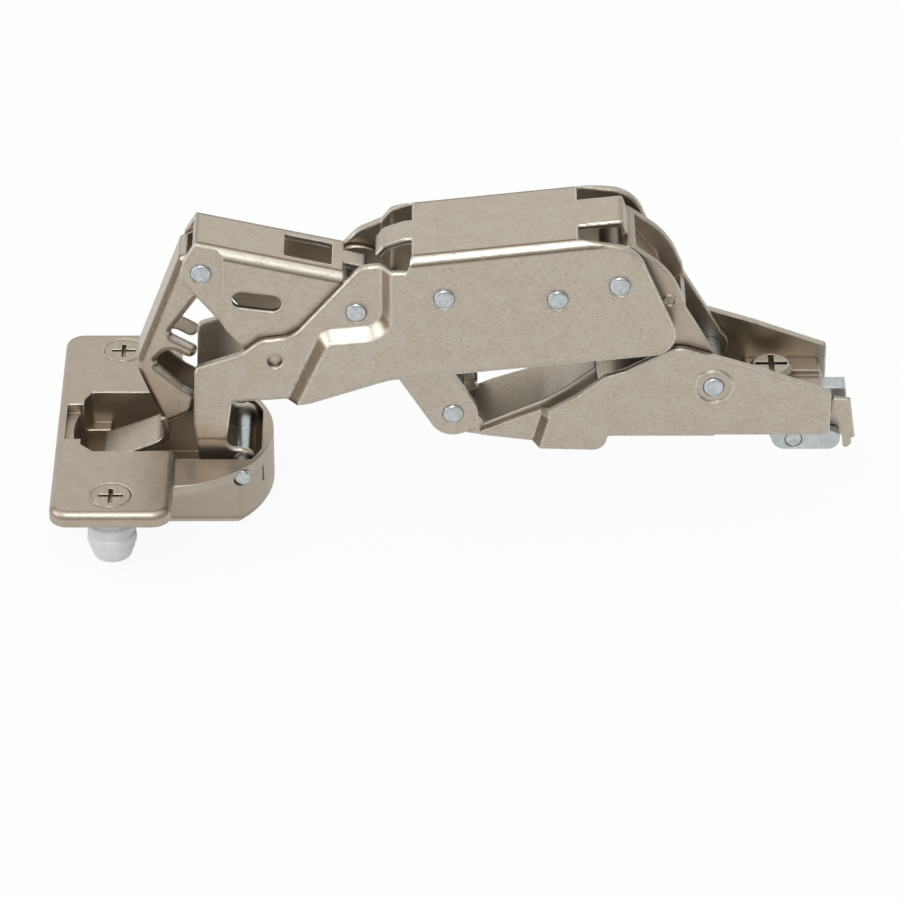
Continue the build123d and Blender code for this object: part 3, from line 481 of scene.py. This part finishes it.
@dataclass(frozen=True)
class RingedMetal(PlatedMetal):
    """Metal with a groove round each of two screws that stand at mirrored places; painted shade
    darkens the groove.

    Args:
        centre_mm: the screws' place, with both coordinates taken as positive.
        ring_mm: the groove's mean radius.
        groove_mm: half the groove's width.
    """

    centre_mm: Triple = (9.2, 22.5, 0.0)
    ring_mm: float = 3.5
    groove_mm: float = 0.28

    def marked(self, graph: Graph, place: Signal) -> Signal:
        """Masks the groove.

        Args:
            graph: the material's graph.
            place: the Object coordinates.

        Returns:
            The groove's mask.
        """
        flat = graph.stretched(place, (1.0, 1.0, 0.0))
        mirrored = graph.add("ShaderNodeVectorMath", {"operation": "ABSOLUTE"}, {0: flat})
        centre = tuple(value * MM for value in self.centre_mm)
        pair = {0: mirrored, 1: centre}
        away = graph.add("ShaderNodeVectorMath", {"operation": "DISTANCE"}, pair, "Value")
        inner, middle, outer = (
            (self.ring_mm + step * self.groove_mm) * MM for step in (-1.0, 0.0, 1.0))
        return away.between(inner, middle) * away.between(outer, middle)


@dataclass(frozen=True)
class LevelledMetal(PlatedMetal):
    """Metal that changes its tint at a height.

    Args:
        level_mm: the heights at which the mark starts and is full.
        right_mm: the places along the arm at which the mark starts and is full. As it stands,
            they lie beyond the hinge, so that the mark has its whole length.
    """

    level_mm: Span = (0.0, 1.0)
    right_mm: Span = (400.0, 300.0)

    def marked(self, graph: Graph, place: Signal) -> Signal:
        """Masks the part beyond the height.

        Args:
            graph: the material's graph.
            place: the Object coordinates.

        Returns:
            The mask.
        """
        x, z = (graph.add("ShaderNodeSeparateXYZ", None, {0: place}, axis) for axis in "XZ")
        height = z.between(*(value * MM for value in self.level_mm))
        return height * x.between(*(value * MM for value in self.right_mm))


@dataclass(frozen=True)
class MilkyNylon:
    """Natural nylon: cloudy white with light passing into it.

    Args:
        name: the material's name.
        colour: the plastic's colour.
        cloud: the colour of its cloudy parts.
        cloud_mm: the size of the clouds.
        clouds: the noise at which they start and are full.
        roughness: the mean roughness.
        rough_mm: the size of the duller patches.
        rough_spread: how much those patches change the roughness.
        dent_mm: the size and then the depth of the dents.
        dent_strength: how strongly the dents are seen.
        milk: how much light spreads inside.
        milk_mm: how far it spreads.
        clear: how much light passes straight through.
    """

    name: str
    colour: Colour
    cloud: Colour
    cloud_mm: float = 2.5
    clouds: Span = (0.35, 0.65)
    roughness: float = 0.34
    rough_mm: float = 0.6
    rough_spread: float = 0.2
    dent_mm: Span = (0.4, 0.02)
    dent_strength: float = 0.3
    milk: float = 0.6
    milk_mm: float = 1.5
    clear: float = 0.25

    def material(self) -> bpy.types.Material:
        """Builds the finish.

        Returns:
            The material.
        """
        graph, material = Graph.material(self.name)
        place = graph.add("ShaderNodeTexCoord", output="Object")
        clouds = graph.noise(place, self.cloud_mm)
        tint = graph.mix(clouds.between(*self.clouds), self.cloud, self.colour)
        rough = self.roughness + (graph.noise(place, self.rough_mm) - 0.5) * self.rough_spread
        dent_size, dent_depth = self.dent_mm
        bump = {
            "Strength": self.dent_strength,
            "Distance": dent_depth * MM,
            "Height": graph.noise(place, dent_size),
        }
        inputs = {
            "Base Color": tint,
            "Roughness": rough,
            "Subsurface Weight": self.milk,
            "Subsurface Scale": self.milk_mm * MM,
            "Subsurface Radius": (1.0, 1.0, 1.0),
            "Transmission Weight": self.clear,
            "Normal": graph.add("ShaderNodeBump", None, bump),
        }
        graph.finish(graph.add("ShaderNodeBsdfPrincipled", None, inputs))
        return material


NICKEL: Colour = (0.545, 0.49, 0.425)
NICKEL_PATCH: Colour = (0.52, 0.46, 0.38)
# The colour of the painted highlights on edges and folds.
NICKEL_EDGE: Colour = (0.97, 0.92, 0.82)
NO_STREAK: Triple = (1.0, 1.0, 1.0)


class Finish(Enum):
    """The hinge's finishes: one for each of the record's material slots, and two more for sheet."""

    nickel_sheet = PlatedMetal(
        "nickel_sheet", colour=NICKEL, deep=NICKEL_PATCH, edge=NICKEL_EDGE, roughness=0.36,
        folds=1.0)
    formed_sheet = PlatedMetal(
        "formed_sheet", colour=NICKEL, deep=NICKEL_PATCH, edge=NICKEL_EDGE, roughness=0.33,
        edge_mm=0.9, folds=1.0)
    # A lighter copy of the nickel sheet with less painted shade: painted light on the ramp, which
    # lies in shade.
    ramp_sheet = PlatedMetal(
        "ramp_sheet", colour=(0.60, 0.54, 0.47), deep=(0.575, 0.51, 0.43), edge=NICKEL_EDGE,
        roughness=0.42, shaded=0.4, folds=0.6)
    zinc_casting = LevelledMetal(
        "zinc_casting", colour=(0.49, 0.43, 0.36), deep=(0.45, 0.39, 0.32),
        edge=(0.86, 0.80, 0.68), roughness=0.40, mottle_mm=1.6, scuff=0.014, streak=NO_STREAK,
        edge_mm=0.5, mark=(0.44, 0.38, 0.31), level_mm=(-0.3, -1.2), folds=0.5)
    axle_steel = PlatedMetal(
        "axle_steel", colour=(0.62, 0.66, 0.68), deep=(0.48, 0.53, 0.56),
        edge=(0.80, 0.83, 0.85), roughness=0.30, mottle_mm=0.8, scuff=0.02, streak=NO_STREAK,
        edge_mm=0.2, shaded=0.3)
    bare_zinc = LevelledMetal(
        "bare_zinc", colour=(0.60, 0.65, 0.66), deep=(0.50, 0.55, 0.57),
        edge=(0.78, 0.82, 0.83), roughness=0.42, mottle_mm=1.5, scuff=0.015, streak=NO_STREAK,
        edge_mm=0.35, shaded=0.4, mark=(0.45, 0.39, 0.31), level_mm=(8.6, 9.6),
        right_mm=(111.4, 110.6))
    # The dark groove round these screws is painted shade.
    screw_steel = RingedMetal(
        "screw_steel", colour=(0.50, 0.45, 0.37), deep=(0.42, 0.37, 0.30),
        edge=(0.90, 0.84, 0.72), roughness=0.32, mottle_mm=1.0, streak=NO_STREAK, edge_mm=0.3,
        mark_depth=0.25)
    spring_steel = PlatedMetal(
        "spring_steel", colour=(0.24, 0.22, 0.20), deep=(0.16, 0.14, 0.12),
        edge=(0.4, 0.38, 0.35), roughness=0.36, mottle_mm=1.0, streak=NO_STREAK, edge_mm=0.1)
    dowel_nylon = MilkyNylon("dowel_nylon", colour=(0.94, 0.95, 0.95), cloud=(0.84, 0.86, 0.87))


@dataclass
class PackedParts:
    """The CAD nodes, each with the finish of its slot or a finish of its own.

    Args:
        finishes: the materials by the names of the finishes.
        own: the finishes that differ from the slot's, by node.
    """

    finishes: dict[str, bpy.types.Material]
    own: dict[str, str] = field(
        default_factory=lambda: {"outer_lever": "formed_sheet", "inner_arm": "ramp_sheet"})

    def dress(self) -> None:
        """Puts the finishes on the nodes."""
        parts = frame["record"]["subparts"]
        slots = {part["node"]: part["material_slot"] for part in parts} | self.own
        for name, node in frame["nodes"].items():
            node.data.materials.clear()
            node.data.materials.append(self.finishes[slots[name]])
            log.info("%s wears %s", name, slots[name])


@dataclass
class RivetHeads:
    """The domed ends of the axles, one tree of nodes for all.

    Args:
        finish: the material of the heads.
        dome: the height of a dome, in metres.
        dimple: the depth of its punched middle, in metres.
        fullness: the power that rounds the dome; a higher one has a flatter top.
        dimple_share: the dimple's radius as a share of the dome's.
        dimple_power: the power that gives the dimple its edge.
        rings: how many rings of faces a dome has.
        sides: how many faces go round.
        usual_radius: the radius at which the dome has its written height, in metres.
        rim: how far a dome stays inside the axle's edge, in metres.
    """

    finish: bpy.types.Material
    dome: float = 0.14 * MM
    dimple: float = 0.03 * MM
    fullness: float = 2.4
    dimple_share: float = 0.32
    dimple_power: int = 4
    rings: int = 7
    sides: int = 40
    usual_radius: float = 1.5 * MM
    rim: float = 0.2 * MM

    def build(self) -> None:
        """Makes the heads of every axle, one mesh for each body."""
        bodies = frame["record"]["behaviour"]["bodies"]
        for body, names in bodies.items():
            axles = [name for name in names if name.endswith("_axle")]
            if axles:
                piece = self._heads(f"rivet_heads_{body}", axles)
                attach(piece, body)
                log.info("%s rides on %s", piece.name, body)

    def _profile(self, radius: float) -> list[tuple[float, float]]:
        """The dome's section from its middle to its foot.

        Args:
            radius: the axle's radius.

        Returns:
            Distances from the axis and heights over the axle's end.
        """
        section = []
        for ring in range(self.rings + 1):
            out = ring / self.rings
            bulge = math.sqrt(max(0.0, 1.0 - out ** self.fullness))
            pressed = self.dimple * math.exp(-((out / self.dimple_share) ** self.dimple_power))
            section.append((out * radius, self.dome * bulge - pressed))
        return section

    def _heads(self, name: str, axles: Iterable[str]) -> bpy.types.Object:
        """Instances a dome on both ends of each axle.

        Args:
            name: the new piece's name.
            axles: the axles' node names.

        Returns:
            The piece as a plain mesh.
        """
        ends = bmesh.new()
        size = ends.verts.layers.float.new("radius")
        side = ends.verts.layers.float.new("side")
        for axle in axles:
            low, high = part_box(axle)
            centre = (low + high) / 2
            radius = (high.x - low.x) / 2 - self.rim
            for sign, y in ((-1.0, low.y), (1.0, high.y)):
                vert = ends.verts.new((centre.x, y, centre.z))
                vert[size] = radius
                vert[side] = sign
        mesh = bpy.data.meshes.new(name)
        ends.to_mesh(mesh)
        ends.free()
        points = bpy.data.objects.new(name, mesh)
        bpy.context.scene.collection.objects.link(points)
        modifier = points.modifiers.new("heads", "NODES")
        modifier.node_group = self._tree()
        return plain_mesh(points)

    def _tree(self) -> bpy.types.GeometryNodeTree:
        """The tree that puts a dome on every point.

        Returns:
            The node tree.
        """
        tree = bpy.data.node_groups.new("rivet_heads", "GeometryNodeTree")
        tree.interface.new_socket("Geometry", in_out="INPUT", socket_type="NodeSocketGeometry")
        tree.interface.new_socket("Geometry", in_out="OUTPUT", socket_type="NodeSocketGeometry")
        new, link = tree.nodes.new, tree.links.new
        source = new("NodeGroupInput")
        result = new("NodeGroupOutput")
        dome = new("GeometryNodeObjectInfo")
        dome.inputs["Object"].default_value = self._dome()
        radius, side = (new("GeometryNodeInputNamedAttribute") for _ in range(2))
        for node, attribute in ((radius, "radius"), (side, "side")):
            node.data_type = "FLOAT"
            node.inputs["Name"].default_value = attribute
        turn = new("ShaderNodeMath")
        turn.operation = "MULTIPLY"
        turn.inputs[1].default_value = -math.pi / 2
        euler = new("ShaderNodeCombineXYZ")
        spread = new("GeometryNodeInstanceOnPoints")
        real = new("GeometryNodeRealizeInstances")
        paint = new("GeometryNodeSetMaterial")
        paint.inputs["Material"].default_value = self.finish
        link(source.outputs[0], spread.inputs["Points"])
        link(dome.outputs["Geometry"], spread.inputs["Instance"])
        link(side.outputs["Attribute"], turn.inputs[0])
        link(turn.outputs[0], euler.inputs["X"])
        link(euler.outputs[0], spread.inputs["Rotation"])
        link(radius.outputs["Attribute"], spread.inputs["Scale"])
        link(spread.outputs[0], real.inputs[0])
        link(real.outputs[0], paint.inputs["Geometry"])
        link(paint.outputs[0], result.inputs[0])
        return tree

    def _dome(self) -> bpy.types.Object:
        """One dome of radius 1 along +Z, kept out of the scene.

        Returns:
            The dome's object.
        """
        scale = 1.0 / self.usual_radius
        shape = bmesh.new()
        section = [(out * scale, up * scale) for out, up in self._profile(self.usual_radius)]
        revolve(shape, section, self.sides)
        mesh = bpy.data.meshes.new("rivet_dome")
        shape.to_mesh(mesh)
        shape.free()
        for polygon in mesh.polygons:
            polygon.use_smooth = True
        return bpy.data.objects.new("rivet_dome", mesh)


def revolve(shape: bmesh.types.BMesh, section: Sequence[Span], steps: int) -> None:
    """Turns a section round the Z axis; its first point lies on the axis.

    Args:
        shape: the mesh to add to.
        section: distances from the axis and heights, from the middle outwards.
        steps: how many faces go round.
    """
    middle = shape.verts.new((0.0, 0.0, section[0][1]))
    rings = []
    for out, height in section[1:]:
        angles = (2 * math.pi * step / steps for step in range(steps))
        places = ((out * math.cos(angle), out * math.sin(angle), height) for angle in angles)
        rings.append([shape.verts.new(place) for place in places])
    for step in range(steps):
        shape.faces.new((middle, rings[0][step], rings[0][(step + 1) % steps]))
    for inner, outer in zip(rings, rings[1:]):
        for step in range(steps):
            after = (step + 1) % steps
            shape.faces.new((inner[step], outer[step], outer[after], inner[after]))


def plain_mesh(source: bpy.types.Object) -> bpy.types.Object:
    """Turns a modified object into a plain mesh of the same name.

    Args:
        source: the object, which is removed.

    Returns:
        The new object, at the origin.
    """
    bpy.context.view_layer.update()
    evaluated = source.evaluated_get(bpy.context.evaluated_depsgraph_get())
    mesh = bpy.data.meshes.new_from_object(evaluated)
    name = source.name
    bpy.data.objects.remove(source)
    piece = bpy.data.objects.new(name, mesh)
    bpy.context.scene.collection.objects.link(piece)
    return piece


@dataclass(frozen=True)
class Softbox:
    """One square soft lamp.

    Args:
        name: the lamp's name.
        place: where it stands, in metres.
        size: its edge length in metres.
        power: its power in watts.
    """

    name: str
    place: Triple
    size: float
    power: float

    def build(self, aim: Triple) -> None:
        """Adds the lamp.

        Args:
            aim: the place that it looks at, in metres.
        """
        data = bpy.data.lights.new(self.name, "AREA")
        data.size = self.size
        data.energy = self.power
        lamp = bpy.data.objects.new(self.name, data)
        heading = Vector(aim) - Vector(self.place)
        lamp.location = self.place
        lamp.rotation_euler = heading.to_track_quat("-Z", "Y").to_euler()
        bpy.context.scene.collection.objects.link(lamp)


@dataclass
class Studio:
    """The camera, the lamps, the floor and the world.

    Args:
        eye: where the camera stands, in metres.
        elevation: the angle the camera looks down at, in degrees.
        yaw: how far the camera is turned to the right, in degrees.
        focal_px: the focal length in pixels of the frame.
        frame_px: the frame's width in pixels.
        sensor: the sensor's width in millimetres.
        clip: the nearest and the farthest that the camera sees, in metres.
        lamps: the soft lamps.
        aim: the place on the hinge that the lamps look at, in metres.
        floor_gap: how far the floor lies under the hinge, in metres.
        floor_half: half the floor's edge length, in metres.
        paper: the floor's own colour.
        seen_white: how white the camera sees the floor.
        mirrored_white: how white metal and nylon see it.
        room_tint: the colour of the room's light.
        room: the room's light where nothing takes from it.
        front_loss: how much less light comes from low in front.
        front_facing: how far in front that loss starts and is full.
        front_height: how high up it starts to end and has ended.
        right_loss: how much less light comes from the right.
        right_facing: how far to the right that loss starts and is full.
    """

    eye: Vector = field(default_factory=lambda: Vector((47.07, -770.44, 511.05)) * MM)
    elevation: float = 33.727
    yaw: float = 0.045
    focal_px: float = 5398.0
    frame_px: float = 900.0
    sensor: float = 36.0
    clip: Span = (0.05, 10.0)
    lamps: tuple[Softbox, ...] = (
        Softbox("key_softbox", place=(-0.10, -0.60, 0.86), size=0.42, power=2.6),
        Softbox("left_softbox", place=(-0.95, -0.15, 0.40), size=0.60, power=1.6),
    )
    aim: Triple = (0.048, 0.0, 0.015)
    floor_gap: float = 0.1 * MM
    floor_half: float = 3.0
    paper: Colour = (0.82, 0.82, 0.82)
    seen_white: float = 0.93
    mirrored_white: float = 0.62
    room_tint: Colour = (1.0, 0.995, 0.985)
    room: float = 0.92
    front_loss: float = 0.56
    front_facing: Span = (0.30, 0.80)
    front_height: Span = (0.35, 0.70)
    right_loss: float = 0.40
    right_facing: Span = (0.25, 0.90)

    def build(self) -> None:
        """Sets up everything that isn't the hinge."""
        self._camera()
        self._floor()
        self._world()
        for lamp in self.lamps:
            lamp.build(self.aim)
        bpy.context.scene.view_settings.view_transform = "Standard"

    def _camera(self) -> None:
        """Places the camera where the photograph was taken from."""
        data = bpy.data.cameras.new("camera")
        data.sensor_width = self.sensor
        data.lens = self.focal_px / self.frame_px * self.sensor
        data.clip_start, data.clip_end = self.clip
        camera = bpy.data.objects.new("camera", data)
        camera.location = self.eye
        tilt, turn = math.radians(90.0 - self.elevation), math.radians(-self.yaw)
        camera.rotation_euler = (tilt, 0.0, turn)
        bpy.context.scene.collection.objects.link(camera)
        bpy.context.scene.camera = camera

    def _floor(self) -> None:
        """Lays a pale floor that camera, metal and nylon see as nearly white."""
        level = CAD_BOX[0][2] - self.floor_gap
        signs = ((-1, -1), (1, -1), (1, 1), (-1, 1))
        corners = [(x * self.floor_half, y * self.floor_half, level) for x, y in signs]
        mesh = bpy.data.meshes.new("floor")
        mesh.from_pydata(corners, [], [(0, 1, 2, 3)])
        floor = bpy.data.objects.new("floor", mesh)
        bpy.context.scene.collection.objects.link(floor)
        graph, material = Graph.material("studio_floor")
        paper = graph.add("ShaderNodeBsdfDiffuse", None, {"Color": (*self.paper, 1.0)})
        glow = {"Color": (1.0, 1.0, 1.0, 1.0), "Strength": 1.0}
        white = graph.add("ShaderNodeEmission", None, glow)
        seen, mirrored, passed = (
            graph.add("ShaderNodeLightPath", output=f"Is {ray} Ray")
            for ray in ("Camera", "Glossy", "Transmission"))
        share = seen * self.seen_white + (mirrored + passed) * self.mirrored_white
        graph.finish(graph.add("ShaderNodeMixShader", None, {0: share, 1: paper, 2: white}))
        mesh.materials.append(material)

    def _world(self) -> None:
        """Lights the room: darker low in front and on the right, white where the camera looks."""
        world = bpy.data.worlds.new("studio")
        bpy.context.scene.world = world
        world.use_nodes = True
        graph = Graph(world.node_tree, "ShaderNodeOutputWorld")
        heading = graph.add("ShaderNodeTexCoord", output="Generated")
        x, y, z = (graph.add("ShaderNodeSeparateXYZ", None, {0: heading}, axis) for axis in "XYZ")
        low_front = (0.0 - y).between(*self.front_facing) * (1.0 - z.between(*self.front_height))
        right = x.between(*self.right_facing)
        room = self.room - low_front * self.front_loss - right * self.right_loss
        seen = graph.add("ShaderNodeLightPath", output="Is Camera Ray")
        inputs = {"Color": (*self.room_tint, 1.0), "Strength": room + seen * (1.0 - room)}
        graph.finish(graph.add("ShaderNodeBackground", None, inputs))


def main() -> None:
    """Dresses the hinge and builds the studio round it."""
    logging.basicConfig(level=logging.INFO, format="%(message)s")
    finishes = {finish.name: finish.value.material() for finish in Finish}
    PackedParts(finishes).dress()
    RivetHeads(finishes["axle_steel"]).build()
    Studio().build()


if __name__ == "__main__":
    main()
